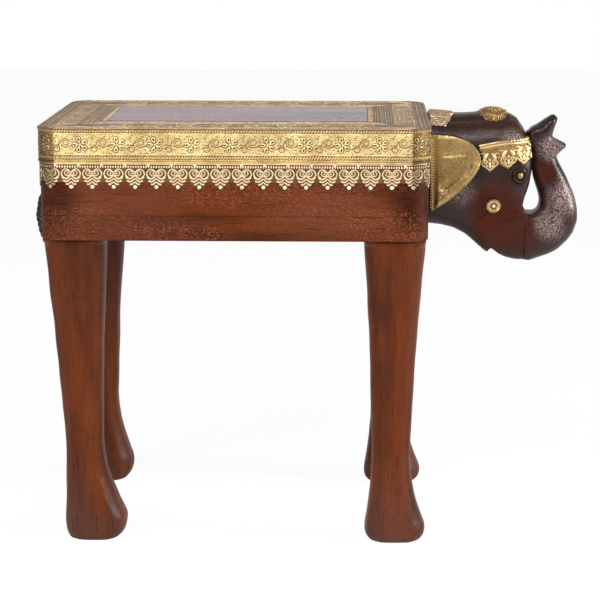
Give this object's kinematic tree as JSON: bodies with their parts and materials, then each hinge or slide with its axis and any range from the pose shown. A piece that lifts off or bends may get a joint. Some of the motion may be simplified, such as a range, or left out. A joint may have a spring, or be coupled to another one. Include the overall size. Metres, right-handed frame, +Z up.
{
  "type": "carved elephant stool",
  "caption": "Carved wooden stool in the form of an elephant, with an embossed brass seat edge, raised trunk and legs with flared feet.",
  "frame": {"origin": "on the floor, under the middle of the overall bounding box", "axes": "+X along the stool towards the head and trunk, +Y to the elephant's left side, +Z up from the feet to the seat"},
  "size_m": [0.6148, 0.3, 0.4661],
  "materials": {
    "mahogany": "satin varnish",
    "head_wood": "gloss varnish",
    "panel_wood": "polished",
    "hidden_wood": "unfinished",
    "dowel_wood": "unfinished",
    "seat_brass": "embossed sheet",
    "head_brass": "embossed sheet"
  },
  "bodies": {
    "root": {"cheek_rosettes": "head_brass", "corner_block_front_far": "hidden_wood", "corner_block_front_near": "hidden_wood", "corner_block_hind_far": "hidden_wood", "corner_block_hind_near": "hidden_wood", "crown_medallion": "head_brass", "ear_far": "head_wood", "ear_near": "head_wood", "ear_sheet_far": "head_brass", "ear_sheet_near": "head_brass", "eye_studs": "head_brass", "flower_band": "seat_brass", "forehead_band": "head_brass", "front_leg_far": "mahogany", "front_leg_near": "mahogany", "head_block": "head_wood", "head_dowels": "dowel_wood", "hind_leg_far": "mahogany", "hind_leg_near": "mahogany", "leaf_band": "seat_brass", "leg_dowels": "dowel_wood", "lower_board_far": "mahogany", "lower_board_head": "mahogany", "lower_board_near": "mahogany", "lower_board_tail": "mahogany", "neck_leaf": "head_brass", "seat_board": "hidden_wood", "seat_panel": "panel_wood", "tail": "head_wood", "tail_dowel": "dowel_wood", "top_border_far": "seat_brass", "top_border_head": "seat_brass", "top_border_near": "seat_brass", "top_border_tail": "seat_brass", "trunk": "head_wood", "trunk_dowel": "dowel_wood", "upper_board_far": "mahogany", "upper_board_head": "mahogany", "upper_board_near": "mahogany", "upper_board_tail": "mahogany"}
  },
  "joints": []
}
